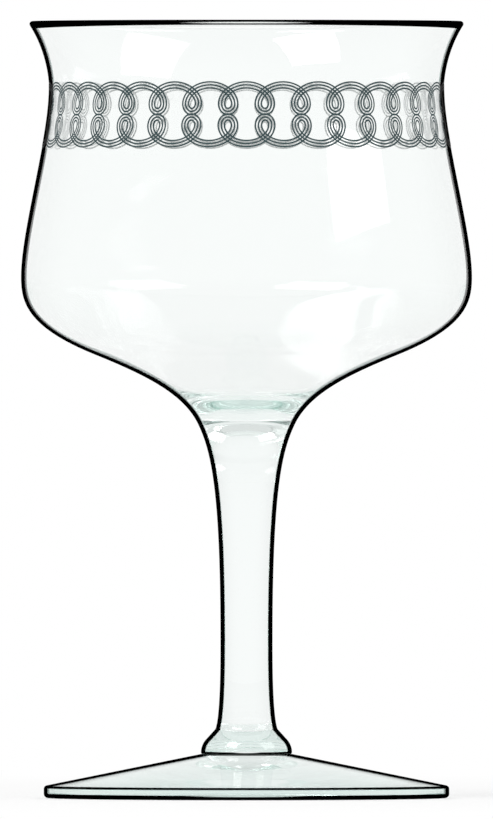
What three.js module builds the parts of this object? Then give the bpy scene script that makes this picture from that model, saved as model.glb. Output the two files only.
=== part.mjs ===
// A clear stemmed water goblet, handmade from three gathers of glass: a blown bowl, a solid drawn
// stem and an applied disc foot. Millimetres, +Z up, standing on z = 0 with its axis on Z.
import * as THREE from 'three';

// Foot: a shallow cone on a thin upright edge, standing on a flat ring, hollow inside the ring
const FOOT_RADIUS = 40.55;
const FOOT_EDGE_HEIGHT = 2.4;
const FOOT_RISE = 6.4;
const FOOT_EDGE_ROUND = 0.5;
const REST_RING_WIDTH = 5;
const FOOT_HOLLOW_DEPTH = 1.2;

// Button: the spread lower end of the stem, an upright edge rounded into a slope
const BUTTON_RADIUS = 9.1;
const BUTTON_EDGE_HEIGHT = 1.8;
const BUTTON_SLOPE_HEIGHT = 3.2;
const BUTTON_ROUND = 3.6;

// Stem: from the neck above the button in to its waist, then out to the seam under the bowl
const NECK_RADIUS = 6.2;
const NECK_TILT = -19;
const NECK_TO_WAIST = 17.4;
const STEM_WAIST_RADIUS = 5.2;
const STEM_WAIST_TO_SEAM = 43.4;
const SEAM_RADIUS = 9.6;
const SEAM_TILT = 25;

// Bowl, outside: up from the seam over the shoulder and the belly, in at the waist, out to the lip
const SHOULDER_RADIUS = 30.4;
const SHOULDER_RISE = 14.1;
const SHOULDER_TILT = 68;
const BELLY_RADIUS = 45.1;
const BELLY_RISE = 15.6;
const BOWL_WAIST_RADIUS = 39.5;
const BOWL_WAIST_RISE = 37.7;
const LIP_RADIUS = 43.4;
const LIP_RISE = 13.4;
const LIP_TILT = 32.5;

// Bowl, inside: one wall all the way, closed by a round bottom above solid glass
const WALL = 1.2;
const BOTTOM_THICKNESS = 2.75;

// How much of a stretch of outline keeps to the direction of its lower and its upper end
const NECK_STRETCH = [0.17, 0.26];
const STEM_STRETCH = [0.7, 0.135];
const BASE_STRETCH = [0.27, 0.45];
const SHOULDER_STRETCH = [0.7, 0.225];
const SIDE_STRETCH = [0.24, 0.26];
const LIP_STRETCH = [0.165, 0.445];

// Facets round the axis, and along one outline curve, one rounded corner and the bowl's bottom
const BOWL_FACETS = 60;
const STEM_FACETS = 48;
const CURVE_STEPS = 7;
const CORNER_STEPS = 3;
const LIP_STEPS = 5;
const BOTTOM_STEPS = 5;

// Heights of the two seams and of the marks on the outline, each standing on the one below
const footSeam = FOOT_EDGE_HEIGHT + FOOT_RISE;
const buttonShoulder = footSeam + BUTTON_EDGE_HEIGHT;
const neckHeight = buttonShoulder + BUTTON_SLOPE_HEIGHT;
const stemWaistHeight = neckHeight + NECK_TO_WAIST;
const bowlSeam = stemWaistHeight + STEM_WAIST_TO_SEAM;
const shoulderHeight = bowlSeam + SHOULDER_RISE;
const bellyHeight = shoulderHeight + BELLY_RISE;
const bowlWaistHeight = bellyHeight + BOWL_WAIST_RISE;
const lipHeight = bowlWaistHeight + LIP_RISE;

// A mark on the outline: a point, and the way the outline climbs there, tilted outwards from upright.
function mark(radius, height, tilt = 0) {
  const angle = THREE.MathUtils.degToRad(tilt);
  return {
    at: new THREE.Vector2(radius, height),
    climb: new THREE.Vector2(Math.sin(angle), Math.cos(angle)),
  };
}

// A smooth stretch of outline between two marks, lower one first.
function stretch(lower, upper, [lowerShare, upperShare]) {
  const reach = lower.at.distanceTo(upper.at);
  const afterLower = lower.at.clone().addScaledVector(lower.climb, lowerShare * reach);
  const beforeUpper = upper.at.clone().addScaledVector(upper.climb, -upperShare * reach);
  return new THREE.CubicBezierCurve(lower.at, afterLower, beforeUpper, upper.at);
}

// A rounded corner of the given radius, as points from the side of `before` to the side of `after`.
// It stays between those two points.
function roundedCorner(before, corner, after, radius) {
  const back = before.clone().sub(corner).normalize();
  const ahead = after.clone().sub(corner).normalize();
  const halfAngle = Math.acos(back.dot(ahead)) / 2;
  const room = Math.min(before.distanceTo(corner), after.distanceTo(corner));
  const setback = Math.min(radius / Math.tan(halfAngle), room);
  const start = corner.clone().addScaledVector(back, setback);
  const end = corner.clone().addScaledVector(ahead, setback);
  return new THREE.QuadraticBezierCurve(start, corner, end).getPoints(CORNER_STEPS);
}

// Points on a circle in the outline's plane, from one angle to another.
function arc(centre, radius, fromAngle, toAngle, steps) {
  const points = [];
  for (let step = 0; step <= steps; step += 1) {
    const angle = fromAngle + (toAngle - fromAngle) * (step / steps);
    points.push(new THREE.Vector2(Math.cos(angle), Math.sin(angle)).multiplyScalar(radius).add(centre));
  }
  return points;
}

// Where a curve's inner side lies, one wall in from its outside, and the way it climbs there.
function wallInside(curve, share) {
  const climb = curve.getTangent(share);
  const inward = new THREE.Vector2(-climb.y, climb.x);
  return { at: curve.getPoint(share).addScaledVector(inward, WALL), climb };
}

// The round bottom that runs smoothly on from the inner side of a curve to the axis.
function bottomBelow(curve, share) {
  const { at, climb } = wallInside(curve, share);
  const radius = at.x / climb.y;
  const centre = new THREE.Vector2(0, at.y + radius * climb.x);
  return { centre, radius, lowest: centre.y - radius, edgeAngle: Math.atan2(-climb.x, climb.y) };
}

// How far up the base curve the wall's inside begins, so that the bottom keeps its thickness.
function bottomShare(curve) {
  const halvings = 30;
  let low = 0;
  let high = 1;
  for (let turn = 0; turn < halvings; turn += 1) {
    const middle = (low + high) / 2;
    if (bottomBelow(curve, middle).lowest < bowlSeam + BOTTOM_THICKNESS) {
      low = middle;
    } else {
      high = middle;
    }
  }
  return high;
}

// Outline points in order, without those that repeat the point before them.
function joined(...runs) {
  const closest = 0.01;
  const points = [];
  for (const point of runs.flat()) {
    const last = points.at(-1);
    if (!last || last.distanceTo(point) > closest) {
      points.push(point);
    }
  }
  return points;
}

// A solid turned on Z from an outline that runs up the outside from the axis and back to the axis.
function turned(name, outline, facets, material) {
  const geometry = new THREE.LatheGeometry(outline, facets);
  geometry.rotateX(Math.PI / 2);
  const mesh = new THREE.Mesh(geometry, material);
  mesh.name = name;
  return mesh;
}

function onAxis(height) {
  return new THREE.Vector2(0, height);
}

// Clear glass with the faint grey-green cast that thick glass shows.
function clearGlass(colour, roughness) {
  return new THREE.MeshStandardMaterial({ color: colour, roughness, metalness: 0 });
}

const seamMark = mark(SEAM_RADIUS, bowlSeam, SEAM_TILT);

// The bowl: the outside climbs in four stretches, the inside follows one wall in, and the
// lip is a half round that the flame has closed over the two.
function bowl() {
  const shoulder = mark(SHOULDER_RADIUS, shoulderHeight, SHOULDER_TILT);
  const belly = mark(BELLY_RADIUS, bellyHeight);
  const waist = mark(BOWL_WAIST_RADIUS, bowlWaistHeight);
  const lipRound = WALL / 2;
  const lipCentre = new THREE.Vector2(LIP_RADIUS - lipRound, lipHeight - lipRound);
  const lipOut = -THREE.MathUtils.degToRad(LIP_TILT);
  const lipHalfRound = arc(lipCentre, lipRound, lipOut, lipOut + Math.PI, LIP_STEPS);
  const lipEdge = mark(lipHalfRound[0].x, lipHalfRound[0].y, LIP_TILT);

  const base = stretch(seamMark, shoulder, BASE_STRETCH);
  const upper = [
    stretch(shoulder, belly, SHOULDER_STRETCH),
    stretch(belly, waist, SIDE_STRETCH),
    stretch(waist, lipEdge, LIP_STRETCH),
  ];
  const outside = [base, ...upper].flatMap((curve) => curve.getPoints(CURVE_STEPS));

  const start = bottomShare(base);
  const inside = [];
  for (const curve of [base, ...upper]) {
    const from = curve === base ? start : 0;
    for (let step = 0; step <= CURVE_STEPS; step += 1) {
      inside.push(wallInside(curve, from + (1 - from) * (step / CURVE_STEPS)).at);
    }
  }
  const { centre, radius, lowest, edgeAngle } = bottomBelow(base, start);
  const bottom = arc(centre, radius, edgeAngle, -Math.PI / 2, BOTTOM_STEPS);
  bottom[BOTTOM_STEPS] = onAxis(lowest);

  const outline = joined([onAxis(bowlSeam)], outside, lipHalfRound, inside.reverse(), bottom);
  return turned('bowl', outline, BOWL_FACETS, clearGlass(0xe3eae8, 0.04));
}

// The stem: solid, with its button below and its flare running on into the bowl above.
function stem() {
  const buttonFoot = new THREE.Vector2(BUTTON_RADIUS, footSeam);
  const buttonEdge = new THREE.Vector2(BUTTON_RADIUS, buttonShoulder);
  const neck = mark(NECK_RADIUS, neckHeight, NECK_TILT);
  const waist = mark(STEM_WAIST_RADIUS, stemWaistHeight);
  const button = roundedCorner(buttonFoot, buttonEdge, neck.at, BUTTON_ROUND);
  const lower = stretch(neck, waist, NECK_STRETCH).getPoints(CURVE_STEPS);
  const upper = stretch(waist, seamMark, STEM_STRETCH).getPoints(2 * CURVE_STEPS);
  const outline = joined([onAxis(footSeam), buttonFoot], button, lower, upper, [onAxis(bowlSeam)]);
  return turned('stem', outline, STEM_FACETS, clearGlass(0xdde6e3, 0.03));
}

// The foot: it rests on the ring inside its edge, and its cone ends under the stem's button.
function foot() {
  const ringInner = new THREE.Vector2(FOOT_RADIUS - REST_RING_WIDTH, 0);
  const lowerEdge = new THREE.Vector2(FOOT_RADIUS, 0);
  const middleEdge = new THREE.Vector2(FOOT_RADIUS, FOOT_EDGE_HEIGHT / 2);
  const upperEdge = new THREE.Vector2(FOOT_RADIUS, FOOT_EDGE_HEIGHT);
  const coneTop = new THREE.Vector2(BUTTON_RADIUS, footSeam);
  const hollowRadius = (ringInner.x ** 2 + FOOT_HOLLOW_DEPTH ** 2) / (2 * FOOT_HOLLOW_DEPTH);
  const hollowCentre = onAxis(FOOT_HOLLOW_DEPTH - hollowRadius);
  const hollowEdge = Math.atan2(-hollowCentre.y, ringInner.x);
  const hollow = arc(hollowCentre, hollowRadius, Math.PI / 2, hollowEdge, BOTTOM_STEPS);
  hollow[0] = onAxis(FOOT_HOLLOW_DEPTH);
  hollow[BOTTOM_STEPS] = ringInner;
  const outline = joined(
    hollow,
    roundedCorner(ringInner, lowerEdge, middleEdge, FOOT_EDGE_ROUND),
    roundedCorner(middleEdge, upperEdge, coneTop, FOOT_EDGE_ROUND),
    [coneTop, onAxis(footSeam)],
  );
  return turned('foot', outline, BOWL_FACETS, clearGlass(0xd6e1de, 0.05));
}

const goblet = new THREE.Group();
goblet.add(foot(), stem(), bowl());

export default goblet;
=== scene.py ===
"""Looks of a clear stemmed water goblet with a needle-etched band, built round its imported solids."""

import math

import bpy
import numpy as np
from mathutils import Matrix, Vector


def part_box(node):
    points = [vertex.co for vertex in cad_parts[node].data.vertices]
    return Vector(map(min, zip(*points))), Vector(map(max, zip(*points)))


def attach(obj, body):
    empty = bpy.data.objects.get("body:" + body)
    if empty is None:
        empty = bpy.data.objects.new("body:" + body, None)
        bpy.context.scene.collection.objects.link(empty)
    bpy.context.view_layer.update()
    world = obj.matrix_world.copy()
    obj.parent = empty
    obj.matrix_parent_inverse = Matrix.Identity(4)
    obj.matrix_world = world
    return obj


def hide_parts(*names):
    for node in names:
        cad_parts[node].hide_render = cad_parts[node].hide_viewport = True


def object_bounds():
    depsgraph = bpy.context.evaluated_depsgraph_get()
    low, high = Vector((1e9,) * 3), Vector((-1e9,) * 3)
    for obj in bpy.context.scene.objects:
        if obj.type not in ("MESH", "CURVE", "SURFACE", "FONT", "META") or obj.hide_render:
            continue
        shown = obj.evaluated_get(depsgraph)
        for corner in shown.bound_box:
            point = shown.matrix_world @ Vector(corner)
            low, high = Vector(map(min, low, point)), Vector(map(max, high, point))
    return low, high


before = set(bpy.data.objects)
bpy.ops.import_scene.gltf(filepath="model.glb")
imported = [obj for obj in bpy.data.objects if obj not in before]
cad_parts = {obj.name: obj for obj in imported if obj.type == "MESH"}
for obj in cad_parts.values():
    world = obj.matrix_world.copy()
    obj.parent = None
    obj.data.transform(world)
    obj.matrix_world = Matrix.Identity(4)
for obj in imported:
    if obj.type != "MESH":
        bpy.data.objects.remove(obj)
cad_low, cad_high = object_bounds()


# Bowl: blown clear glass, one thin wall from the flared lip down over a full belly to a solid
# round bottom. It is blown first, its lip is flared and fire-polished, and its base is drawn in
# to the small disc that the stem is fused to.
bowl_low, bowl_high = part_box("bowl")
bowl_seam = bowl_low.z
lip_height = bowl_high.z
belly_radius = bowl_high.x
seam_radius = 0.0096
seam_tilt = 25
shoulder_radius = 0.0304
shoulder_height = bowl_seam + 0.0141
shoulder_tilt = 68
belly_height = shoulder_height + 0.0156
waist_radius = 0.0395
waist_height = belly_height + 0.0377
lip_radius = 0.0434
lip_tilt = 32.5
wall = 0.0012
bottom_thickness = 0.00275
well_radius = 0.0146
well_height = bowl_seam + 0.0075
well_tilt = 56
# How far each curve of the outline keeps to the slope at its two ends, as shares of the way between.
base_shares = (0.27, 0.45)
shoulder_shares = (0.7, 0.225)
side_shares = (0.24, 0.26)
flare_shares = (0.165, 0.445)
lip_shares = (0.39, 0.39)
well_shares = (0.34, 0.34)
well_side_shares = (0.33, 0.33)
inner_shoulder_shares = (0.66, 0.2)
curve_steps = 24
round_facets = 144
smooth_angle = 40
fused_gap = 0.000004
merge_distance = 0.000002
least_radius = 0.000004

# The painted dark edge of the glass, a painted shade for the darkness that refraction gives where
# glass is seen edge on: how wide it is in a level view, how softly it ends, the faint painted shade
# beside it, and the creases that are painted dark from almost any side.
lip_painted_line = 0.000612
edge_width = 0.00093
edge_softness = 0.03
edge_falloff = 0.45
edge_shade = 0.14
never_dark = 2
crease_slant = 0.02
least_outwards = 0.02
flat_normal = 0.999
glass_index = 1.52
fused_index = 1.0
clear_tint = (0.975, 0.988, 0.983, 1)
# Black painted into the glass's colour along its edges and creases: painted shade.
painted_edge_black = (0, 0, 0, 1)
depth_colour = (0.35, 0.62, 0.55, 1)
depth_density = 6
bowl_ripples = (30, 30, 70)
bowl_ripple_height = 0.000012
ripple_detail = 1


def mark(radius, height, tilt=0.0):
    """A point of the outline, and the way the glass climbs there, tilted outwards from upright."""
    angle = math.radians(tilt)
    return Vector((radius, height)), Vector((math.sin(angle), math.cos(angle)))


def inside_of(point_and_climb):
    """The same mark on the inner face of the wall."""
    point, climb = point_and_climb
    return point + wall * Vector((-climb.y, climb.x)), climb


def climb_between(lower, upper, lower_share, upper_share):
    """A smooth stretch of outline as a Bezier curve's two ends and handles, lower end first."""
    reach = (upper[0] - lower[0]).length
    return (
        lower[0],
        lower[0] + lower_share * reach * lower[1],
        upper[0] - upper_share * reach * upper[1],
        upper[0],
    )


def straight(start, end):
    """A straight stretch of outline."""
    return start, start.lerp(end, 1 / 3), start.lerp(end, 2 / 3), end


def downwards(stretch):
    """The same stretch, followed from its upper end."""
    return tuple(reversed(stretch))


def turned_on_axis(name, stretches):
    """A closed solid: the outline is drawn as one Bezier line, made a mesh and spun round Z."""
    bpy.ops.object.select_all(action="DESELECT")
    bpy.ops.curve.primitive_bezier_curve_add()
    piece = bpy.context.active_object
    piece.name = name
    piece.data.resolution_u = curve_steps
    points = piece.data.splines[0].bezier_points
    points.add(len(stretches) - 1)
    for point in points:
        point.handle_left_type = "FREE"
        point.handle_right_type = "FREE"
    for place, (start, after_start, before_end, end) in enumerate(stretches):
        points[place].co = (start.x, 0, start.y)
        points[place].handle_right = (after_start.x, 0, after_start.y)
        points[place + 1].handle_left = (before_end.x, 0, before_end.y)
        points[place + 1].co = (end.x, 0, end.y)
    points[0].handle_left = points[0].co
    points[-1].handle_right = points[-1].co
    bpy.ops.object.convert(target="MESH")
    bpy.ops.object.mode_set(mode="EDIT")
    bpy.ops.mesh.select_all(action="SELECT")
    bpy.ops.mesh.spin(steps=round_facets, angle=math.tau, center=(0, 0, 0), axis=(0, 0, 1))
    bpy.ops.mesh.select_all(action="SELECT")
    bpy.ops.mesh.remove_doubles(threshold=merge_distance)
    bpy.ops.mesh.normals_make_consistent(inside=False)
    bpy.ops.object.mode_set(mode="OBJECT")
    bpy.ops.object.shade_smooth_by_angle(angle=math.radians(smooth_angle))
    return piece


def mark_fused_faces(piece, *heights):
    """Marks the flat faces where two gathers of glass are fused, so that light goes straight on."""
    fused = piece.data.attributes.new("fused", "FLOAT", "FACE")
    for face in piece.data.polygons:
        flat = abs(face.normal.z) > flat_normal
        on_seam = any(abs(face.center.z - height) < fused_gap for height in heights)
        fused.data[face.index].value = float(flat and on_seam)


def mark_edge_slant(piece, creases):
    """Writes how slanted the surface is, at each face corner, where its painted dark edge begins, so that
    the painted edge is as wide on a slim stem as on a wide bowl. A crease is a ring of the given radius
    and height, which is painted dark as far as its reach, a painted shade. The inside has no such edge."""
    mesh = piece.data
    points = np.array([mesh.vertices[corner.vertex_index].co for corner in mesh.loops])
    normals = np.array([corner.vector for corner in mesh.corner_normals])
    radii = np.maximum(np.hypot(points[:, 0], points[:, 1]), least_radius)
    outwards = (points[:, :2] * normals[:, :2]).sum(axis=1) / radii
    upright = np.maximum(outwards, least_outwards)
    reach = np.clip(1 - edge_width / upright / radii, 0, 1)
    slant = 1 - upright * np.sqrt(1 - reach ** 2)
    slant[outwards < least_outwards] = never_dark
    for radius, height, crease_reach in creases:
        near = np.hypot(radii - radius, points[:, 2] - height) < crease_reach
        slant[near & (np.abs(normals[:, 2]) < flat_normal)] = crease_slant
    mesh.attributes.new("edge_slant", "FLOAT", "CORNER").data.foreach_set("value", slant)


def new_material(name):
    """An empty node material and its tree."""
    material = bpy.data.materials.new(name)
    material.use_nodes = True
    material.node_tree.nodes.clear()
    return material, material.node_tree


def add_node(tree, kind, sockets=(), **settings):
    """Adds a node with its settings, and sets its input sockets or links them to other nodes."""
    node = tree.nodes.new(kind)
    for name, value in settings.items():
        setattr(node, name, value)
    for socket, value in dict(sockets).items():
        if isinstance(value, bpy.types.NodeSocket):
            tree.links.new(value, node.inputs[socket])
        else:
            node.inputs[socket].default_value = value
    return node


def add_math(tree, operation, first, second):
    """A Math node's result."""
    return add_node(tree, "ShaderNodeMath", {0: first, 1: second}, operation=operation).outputs[0]


def add_ramp(tree, value, start, end, low=0.0, high=1.0):
    """A smooth change from low to high as the value goes from start to end."""
    sockets = {"Value": value, "From Min": start, "From Max": end, "To Min": low, "To Max": high}
    ramp = add_node(tree, "ShaderNodeMapRange", sockets, interpolation_type="SMOOTHSTEP")
    return ramp.outputs["Result"]


def make_clear_glass(name, ripples, ripple_height):
    """Clear glass with a faint grey-green depth and the slight ripples of hand work, given as ripples
    to the metre each way. Seen edge on from outside, and not through other glass, its colour is painted
    black, a painted shade for the dark edge that refraction gives, with a faint painted shade beside it."""
    material, tree = new_material(name)
    slant = add_node(tree, "ShaderNodeLayerWeight").outputs["Facing"]
    edge_slant = add_node(tree, "ShaderNodeAttribute", attribute_name="edge_slant").outputs["Fac"]
    past_edge = add_math(tree, "SUBTRACT", slant, edge_slant)
    from_within = add_node(tree, "ShaderNodeNewGeometry").outputs["Backfacing"]
    through_glass = add_node(tree, "ShaderNodeLightPath").outputs["Is Glossy Ray"]
    direct = add_math(tree, "SUBTRACT", 1, add_math(tree, "MAXIMUM", from_within, through_glass))
    # Painted shade: the base colour goes black where the surface is seen edge on from outside, and a faint
    # painted shade lies beside that edge.
    edge = add_math(tree, "MULTIPLY", add_ramp(tree, past_edge, -edge_softness, edge_softness), direct)
    falloff = add_ramp(tree, past_edge, -edge_falloff, 0, 0, edge_shade)
    shade = add_math(tree, "MULTIPLY", falloff, direct)
    tint_and_painted_edge = add_node(tree, "ShaderNodeMix", data_type="RGBA", sockets={
        "Factor": add_math(tree, "MAXIMUM", edge, shade),
        "A": clear_tint,
        "B": painted_edge_black,
    })
    fused = add_node(tree, "ShaderNodeAttribute", attribute_name="fused").outputs["Fac"]
    index = add_node(tree, "ShaderNodeMapRange", {
        "Value": add_math(tree, "MAXIMUM", fused, edge),
        "To Min": glass_index,
        "To Max": fused_index,
    })
    place = add_node(tree, "ShaderNodeTexCoord").outputs["Object"]
    stretched = add_node(tree, "ShaderNodeMapping", {"Vector": place, "Scale": ripples}).outputs[0]
    wave_sockets = {"Vector": stretched, "Scale": 1, "Detail": ripple_detail}
    waves = add_node(tree, "ShaderNodeTexNoise", wave_sockets)
    surface = add_node(tree, "ShaderNodeBump", {"Height": waves.outputs[0], "Distance": ripple_height})
    glass = add_node(tree, "ShaderNodeBsdfPrincipled", {
        "Base Color": tint_and_painted_edge.outputs["Result"],
        "Roughness": 0,
        "IOR": index.outputs["Result"],
        "Transmission Weight": 1,
        "Normal": surface.outputs["Normal"],
    })
    depth = add_node(tree, "ShaderNodeVolumeAbsorption", {"Color": depth_colour, "Density": depth_density})
    add_node(tree, "ShaderNodeOutputMaterial", {"Surface": glass.outputs[0], "Volume": depth.outputs[0]})
    return material, glass, place


bowl_base = bowl_seam + fused_gap
seam_mark = mark(seam_radius, bowl_seam, seam_tilt)
shoulder_mark = mark(shoulder_radius, shoulder_height, shoulder_tilt)
belly_mark = mark(belly_radius, belly_height)
waist_mark = mark(waist_radius, waist_height)
lip_round = wall / 2
lip_angle = math.radians(lip_tilt)
lip_centre = Vector((lip_radius - lip_round, lip_height - lip_round))
lip_out = lip_round * Vector((math.cos(lip_angle), -math.sin(lip_angle)))
lip_up = lip_round * Vector((math.sin(lip_angle), math.cos(lip_angle)))
lip_edge = (lip_centre + lip_out, lip_up.normalized())
lip_crest = (lip_centre + lip_up, -lip_out.normalized())
lip_inner = (lip_centre - lip_out, -lip_up.normalized())
outside = [
    climb_between(seam_mark, shoulder_mark, *base_shares),
    climb_between(shoulder_mark, belly_mark, *shoulder_shares),
    climb_between(belly_mark, waist_mark, *side_shares),
    climb_between(waist_mark, lip_edge, *flare_shares),
]
lip = [
    climb_between(lip_edge, lip_crest, *lip_shares),
    climb_between(lip_crest, lip_inner, *lip_shares),
]
well_mark = mark(well_radius, well_height, well_tilt)
bottom_mark = mark(0, bowl_seam + bottom_thickness, 90)
inside = [
    climb_between(bottom_mark, well_mark, *well_shares),
    climb_between(well_mark, inside_of(shoulder_mark), *well_side_shares),
    climb_between(inside_of(shoulder_mark), inside_of(belly_mark), *inner_shoulder_shares),
    climb_between(inside_of(belly_mark), inside_of(waist_mark), *side_shares),
    climb_between(inside_of(waist_mark), inside_of(lip_edge), *flare_shares),
]
seam_disc = straight(Vector((0, bowl_base)), Vector((seam_radius, bowl_base)))
outside[0] = (seam_disc[-1], *outside[0][1:])
bowl = turned_on_axis("bowl_glass", [seam_disc, *outside, *lip, *map(downwards, reversed(inside))])
mark_fused_faces(bowl, bowl_base)
# The lip's rounding is a crease painted dark, a painted shade.
mark_edge_slant(bowl, [(lip_centre.x, lip_centre.y, lip_painted_line)])
bowl.data.materials.append(make_clear_glass("bowl_glass", bowl_ripples, bowl_ripple_height)[0])
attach(bowl, "root")
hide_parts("bowl")


# Stem: a solid rod of clear glass, drawn out of a second gather stuck to the bowl's base. It is
# pulled to a slim waist, and its lower end is pressed out into a small sloped button.
foot_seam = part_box("stem")[0].z
stem_base = foot_seam + fused_gap
stem_top = bowl_seam - fused_gap
button_radius = 0.0091
button_shoulder = foot_seam + 0.0018
button_setback = 0.0014
button_nip = 0.00035
# The ring where the button meets the foot is painted dark this far from it, a painted shade for the crease
# there.
button_painted_line = 0.0004
neck_radius = 0.0062
neck_height = button_shoulder + 0.0032
neck_tilt = -19
stem_waist_radius = 0.0052
stem_waist_height = neck_height + 0.0174
lower_stem_shares = (0.17, 0.26)
upper_stem_shares = (0.7, 0.135)
corner_pull = 0.6
stem_ripples = (120, 120, 15)
stem_ripple_height = 0.000006


def rounded_corner(before, corner, after, setback):
    """A corner of the outline, softened by the flame."""
    start = corner + setback * (before - corner).normalized()
    end = corner + setback * (after - corner).normalized()
    return start, start.lerp(corner, corner_pull), end.lerp(corner, corner_pull), end


neck_mark = mark(neck_radius, neck_height, neck_tilt)
stem_waist_mark = mark(stem_waist_radius, stem_waist_height)
base_centre = Vector((0, stem_base))
button_foot = Vector((button_radius, stem_base))
button_corner = Vector((button_radius, button_shoulder))
button_nipped = rounded_corner(base_centre, button_foot, button_corner, button_nip)
button_round = rounded_corner(button_foot, button_corner, neck_mark[0], button_setback)
upper_stem = climb_between(stem_waist_mark, seam_mark, *upper_stem_shares)
stem_top_edge = Vector((seam_radius, stem_top))
stem = turned_on_axis("stem_glass", [
    straight(base_centre, button_nipped[0]),
    button_nipped,
    straight(button_nipped[-1], button_round[0]),
    button_round,
    straight(button_round[-1], neck_mark[0]),
    climb_between(neck_mark, stem_waist_mark, *lower_stem_shares),
    (*upper_stem[:-1], stem_top_edge),
    straight(stem_top_edge, Vector((0, stem_top))),
])
mark_fused_faces(stem, stem_base, stem_top)
mark_edge_slant(stem, [(button_radius, foot_seam, button_painted_line)])
stem.data.materials.append(make_clear_glass("stem_glass", stem_ripples, stem_ripple_height)[0])
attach(stem, "root")
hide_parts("stem")


# Foot: a third gather, dropped on the button and pressed out into a shallow cone with a thin
# upright edge. It stands on the ring inside that edge, and is slightly hollow within the ring.
foot_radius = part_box("foot")[1].x
foot_top = foot_seam - fused_gap
foot_edge_height = 0.0024
lower_edge_round = 0.0009
upper_edge_round = 0.0006
ring_inner = foot_radius - 0.005
hollow_depth = 0.0012
# The foot's lower and upper edges are painted dark this far round them, a painted shade for these creases.
lower_painted_line = 0.00092
upper_painted_line = 0.0004
hollow_shares = (1 / 3, 1 / 3)
foot_ripples = (40, 40, 40)
foot_ripple_height = 0.000012
worn_height = 0.00012
worn_roughness = 0.45
scratches = 2500
scratch_detail = 4

hollow_crown = mark(0, hollow_depth, 90)
ring_edge = Vector((ring_inner, 0))
lower_edge = Vector((foot_radius, 0))
upper_edge = Vector((foot_radius, foot_edge_height))
cone_top = Vector((button_radius, foot_top))
lower_round = rounded_corner(ring_edge, lower_edge, upper_edge, lower_edge_round)
upper_round = rounded_corner(lower_edge, upper_edge, cone_top, upper_edge_round)
hollow_fall = math.degrees(math.atan2(2 * hollow_depth, ring_inner))
hollow = climb_between(hollow_crown, mark(ring_inner, 0, 90 + hollow_fall), *hollow_shares)
foot = turned_on_axis("foot_glass", [
    hollow,
    straight(ring_edge, lower_round[0]),
    lower_round,
    straight(lower_round[-1], upper_round[0]),
    upper_round,
    straight(upper_round[-1], cone_top),
    straight(cone_top, Vector((0, foot_top))),
])
mark_fused_faces(foot, foot_top)
# Creases of the foot painted dark, a painted shade: its two edges and the ring at the button.
foot_creases = [
    (foot_radius, 0, lower_painted_line),
    (foot_radius, foot_edge_height, upper_painted_line),
    (button_radius, foot_seam, button_painted_line),
]
mark_edge_slant(foot, foot_creases)
foot_glass, glass, place = make_clear_glass("foot_glass", foot_ripples, foot_ripple_height)
tree = foot_glass.node_tree
height = add_node(tree, "ShaderNodeSeparateXYZ", {0: place}).outputs["Z"]
rubbed = add_ramp(tree, height, 0, worn_height, worn_roughness, 0)
scratch_sockets = {"Vector": place, "Scale": scratches, "Detail": scratch_detail}
scratch = add_node(tree, "ShaderNodeTexNoise", scratch_sockets)
wear = add_math(tree, "MULTIPLY", rubbed, scratch.outputs[0])
tree.links.new(wear, glass.inputs["Roughness"])
foot.data.materials.append(foot_glass)
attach(foot, "root")
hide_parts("foot")


# Etched band: lines scratched through wax by the needles of an etching machine, and bitten matt
# by acid. Three parallel needles run in loops round the bowl, and a second row mirrors the first.
band_middle = 0.13657
row_offset = 0.0032
loop_count = 34
loop_reach = 0.0029
loop_height = 0.00264
needle_spacing = 0.00061
line_radius = 0.000175
line_rounding = 1
line_rise = 0.3
loop_points = 40
on_plane = 0.000001
# The outside of the lines is painted dark grey-green, a painted shade for how frosted lines look against
# bright light behind them; the pale frost is their own colour.
painted_slate_shade = (0.03, 0.055, 0.06, 1)
painted_slate_shade_pale = (0.05, 0.085, 0.09, 1)
frost = (0.85, 0.87, 0.87, 1)
etched_grain = 4000
grain_detail = 3
grain_low = 0.2
grain_high = 0.8
least_matt = 0.6
most_matt = 0.9
etched_shine = 0.2
sideways = (1, 1, 0)


def bowl_radius_at(heights):
    """The outside radius of the bowl at the given heights, read from its own mesh."""
    outline = [
        (vertex.co.z, vertex.co.x)
        for vertex in bowl.data.vertices
        if vertex.co.z > belly_height
        and abs(vertex.co.y) < on_plane
        and min(vertex.co.x, vertex.normal.x) > 0
    ]
    outline_heights, outline_radii = np.array(sorted(outline)).T
    return np.interp(heights, outline_heights, outline_radii)


def etched_line(row_sign, needle):
    """One needle's closed run round the bowl: a ring of points bent into loops and beaded."""
    bpy.ops.object.select_all(action="DESELECT")
    bpy.ops.mesh.primitive_circle_add(vertices=loop_count * loop_points, radius=waist_radius)
    line = bpy.context.active_object
    turn = np.arange(loop_count * loop_points) * math.tau / loop_points + math.pi
    roll = waist_radius / loop_count
    along = roll * turn - loop_reach * np.sin(turn)
    down = loop_height * np.cos(turn)
    run_along = roll - loop_reach * np.cos(turn)
    run_down = -loop_height * np.sin(turn)
    speed = np.hypot(run_along, run_down)
    along = along + needle * needle_spacing * run_down / speed
    down = down - needle * needle_spacing * run_along / speed
    heights = band_middle + row_sign * (row_offset - down)
    angles = (along - roll * math.pi) / waist_radius - math.pi / 2
    radii = bowl_radius_at(heights)
    places = np.stack([radii * np.cos(angles), radii * np.sin(angles), heights], axis=1)
    line.data.vertices.foreach_set("co", places.ravel())
    bpy.ops.object.convert(target="CURVE")
    line.data.bevel_depth = line_radius
    line.data.bevel_resolution = line_rounding
    bpy.ops.object.convert(target="MESH")
    return line


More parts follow.
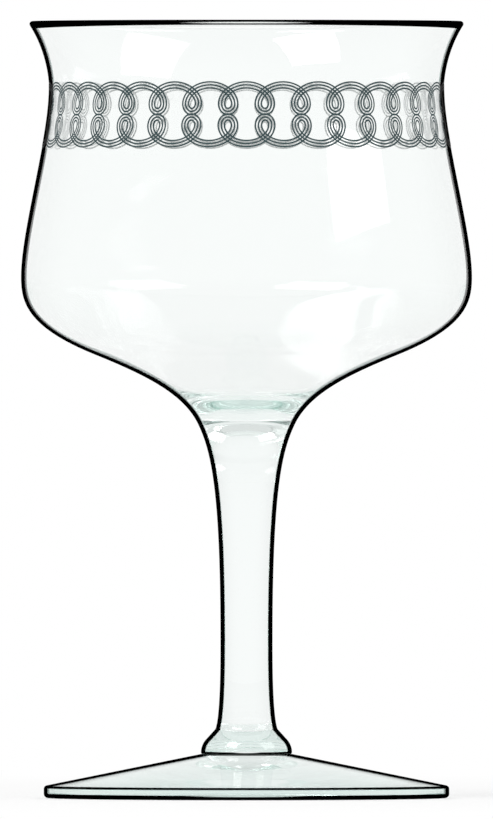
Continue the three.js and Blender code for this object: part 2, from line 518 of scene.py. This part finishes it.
lines = [etched_line(row_sign, needle) for row_sign in (1, -1) for needle in (-1, 0, 1)]
bpy.ops.object.select_all(action="DESELECT")
for line in lines:
    line.select_set(True)
bpy.context.view_layer.objects.active = lines[0]
bpy.ops.object.join()
bpy.ops.object.shade_smooth()
band = bpy.context.active_object
band.name = "etched_band"
bead = np.array([vertex.co for vertex in band.data.vertices])
bead_radii = np.hypot(bead[:, 0], bead[:, 1])
surface_radii = bowl_radius_at(bead[:, 2])
flattened = surface_radii + line_rise * (bead_radii - surface_radii)
bead[:, :2] *= (flattened / bead_radii)[:, None]
band.data.vertices.foreach_set("co", bead.ravel())
band.data.update()
# Faces that look into the bowl get the etching's own pale frost; the outer faces get the painted shade.
behind = band.data.attributes.new("behind", "FLOAT", "FACE")
for face in band.data.polygons:
    inwards = face.center.x * face.normal.x + face.center.y * face.normal.y < 0
    behind.data[face.index].value = float(inwards)


def make_etched_glass():
    """Matt etching with a fine grain, painted dark grey-green outside as a painted shade for frosted lines
    against bright light, pale as frost, its own colour, on the side that faces into the bowl.
    """
    material, tree = new_material("etched_glass")
    place = add_node(tree, "ShaderNodeTexCoord").outputs["Object"]
    grain_sockets = {"Vector": place, "Scale": etched_grain, "Detail": grain_detail}
    grain = add_node(tree, "ShaderNodeTexNoise", grain_sockets)
    front = add_node(tree, "ShaderNodeMix", data_type="RGBA", sockets={
        "Factor": grain.outputs[0],
        "A": painted_slate_shade,
        "B": painted_slate_shade_pale,
    })
    behind = add_node(tree, "ShaderNodeAttribute", attribute_name="behind").outputs["Fac"]
    either_side = add_node(tree, "ShaderNodeMix", data_type="RGBA", sockets={
        "Factor": behind,
        "A": front.outputs["Result"],
        "B": frost,
    })
    # Painted shade: the band is painted black where the bowl's wall is seen edge on, as the glass is.
    level = add_node(tree, "ShaderNodeVectorMath", {0: place, 1: sideways}, operation="MULTIPLY")
    wall_normal = add_node(tree, "ShaderNodeVectorMath", {0: level.outputs[0]}, operation="NORMALIZE")
    slant = add_node(tree, "ShaderNodeLayerWeight", {"Normal": wall_normal.outputs[0]}).outputs["Facing"]
    wall_edge = 1 - math.sqrt(1 - (1 - edge_width / waist_radius) ** 2)
    colour = add_node(tree, "ShaderNodeMix", data_type="RGBA", sockets={
        "Factor": add_ramp(tree, slant, wall_edge - edge_softness, wall_edge + edge_softness),
        "A": either_side.outputs["Result"],
        "B": painted_edge_black,
    })
    etched = add_node(tree, "ShaderNodeBsdfPrincipled", {
        "Base Color": colour.outputs["Result"],
        "Roughness": add_ramp(tree, grain.outputs[0], grain_low, grain_high, least_matt, most_matt),
        "Specular IOR Level": etched_shine,
    })
    add_node(tree, "ShaderNodeOutputMaterial", {"Surface": etched.outputs[0]})
    return material


band.data.materials.append(make_etched_glass())
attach(band, "root")


# Floor: a plain pale table top, round and nearly white, which keeps the goblet's soft shadow. Further
# out it shows as white as the room, and nearly so through the glass.
floor_radius = 0.55
floor_facets = 96
floor_drop = 0.0001
shadow_inner = 0.06
shadow_outer = 0.45
white_near = 0.6
white_through_glass = 0.9
floor_colour = (0.9, 0.9, 0.9, 1)
floor_roughness = 0.8
room_white = (1, 1, 1, 1)

bpy.ops.object.select_all(action="DESELECT")
bpy.ops.mesh.primitive_circle_add(vertices=floor_facets, radius=floor_radius, fill_type="NGON")
floor = bpy.context.active_object
floor.location.z = -floor_drop
floor.name = "floor"
floor_material, tree = new_material("pale_floor")
paint_sockets = {"Base Color": floor_colour, "Roughness": floor_roughness}
paint = add_node(tree, "ShaderNodeBsdfPrincipled", paint_sockets)
white = add_node(tree, "ShaderNodeEmission", {"Color": room_white})
place = add_node(tree, "ShaderNodeTexCoord").outputs["Object"]
away = add_node(tree, "ShaderNodeVectorMath", {0: place}, operation="LENGTH").outputs["Value"]
seen = add_node(tree, "ShaderNodeLightPath").outputs
whiter = add_ramp(tree, away, shadow_inner, shadow_outer, white_near, 1)
by_eye = add_math(tree, "MULTIPLY", seen["Is Camera Ray"], whiter)
glass_path = add_math(tree, "MAXIMUM", seen["Is Glossy Ray"], seen["Is Transmission Ray"])
by_glass = add_math(tree, "MULTIPLY", glass_path, white_through_glass)
blend = add_node(tree, "ShaderNodeMixShader", {
    "Fac": add_math(tree, "MAXIMUM", by_eye, by_glass),
    1: paint.outputs[0],
    2: white.outputs[0],
})
add_node(tree, "ShaderNodeOutputMaterial", {"Surface": blend.outputs[0]})
floor.data.materials.append(floor_material)


# Studio light: a white room that is a little greyer overhead, and two softboxes in front.
soft_level = 0.55
overhead_level = 0.8
overhead_from = math.sin(math.radians(20))
overhead_to = math.sin(math.radians(60))
softbox_size = 0.9
softbox_aim = Vector((0, 0, 0.08))
key_place = Vector((-0.9, -0.9, 1.3))
key_power = 16
fill_place = Vector((1.1, -0.5, 0.9))
fill_power = 7

world = bpy.data.worlds.new("studio")
bpy.context.scene.world = world
world.use_nodes = True
tree = world.node_tree
tree.nodes.clear()
direction = add_node(tree, "ShaderNodeTexCoord").outputs["Generated"]
upwards = add_node(tree, "ShaderNodeSeparateXYZ", {0: direction}).outputs["Z"]
room = add_ramp(tree, upwards, overhead_from, overhead_to, 1, overhead_level)
path = add_node(tree, "ShaderNodeLightPath").outputs
glass_path = add_math(tree, "MAXIMUM", path["Is Glossy Ray"], path["Is Transmission Ray"])
lit = add_node(tree, "ShaderNodeMix", {"Factor": glass_path, "A": soft_level, "B": room}).outputs[0]
shown = add_node(tree, "ShaderNodeMix", {"Factor": path["Is Camera Ray"], "A": lit, "B": 1}).outputs[0]
sky = add_node(tree, "ShaderNodeBackground", {"Color": room_white, "Strength": shown})
add_node(tree, "ShaderNodeOutputWorld", {"Surface": sky.outputs[0]})

for name, spot, power in (
    ("key_softbox", key_place, key_power),
    ("fill_softbox", fill_place, fill_power),
):
    bpy.ops.object.select_all(action="DESELECT")
    bpy.ops.object.light_add(type="AREA", location=spot)
    lamp = bpy.context.active_object
    lamp.name = name
    lamp.data.size = softbox_size
    lamp.data.energy = power
    lamp.rotation_euler = (softbox_aim - spot).to_track_quat("-Z", "Y").to_euler()


# Camera: a very long lens, level with the bowl, so that the goblet shows as a plain elevation. The
# sensor's height frames the picture, and its width only sets how far back the other views stand.
frame_height = 0.1638
eye_height = 0.1
lens_length = 1500
sensor_height = 29.4
sensor_width = 55
sight_limit = 100
light_bounces = 300
aim = Vector((0, 0, (cad_low.z + cad_high.z) / 2))
bpy.ops.object.select_all(action="DESELECT")
bpy.ops.object.camera_add()
camera = bpy.context.active_object
camera.data.sensor_fit = "VERTICAL"
camera.data.sensor_height = sensor_height
camera.data.sensor_width = sensor_width
camera.data.lens = lens_length
camera.data.clip_end = sight_limit
distance = camera.data.lens * frame_height / camera.data.sensor_height
camera.location = (0, -distance, eye_height)
camera.rotation_euler = (aim - camera.location).to_track_quat("-Z", "Y").to_euler()
bpy.context.scene.camera = camera
bpy.context.scene.view_settings.view_transform = "Standard"
bpy.context.scene.cycles.max_bounces = light_bounces
bpy.context.scene.cycles.glossy_bounces = light_bounces
bpy.context.scene.cycles.transmission_bounces = light_bounces
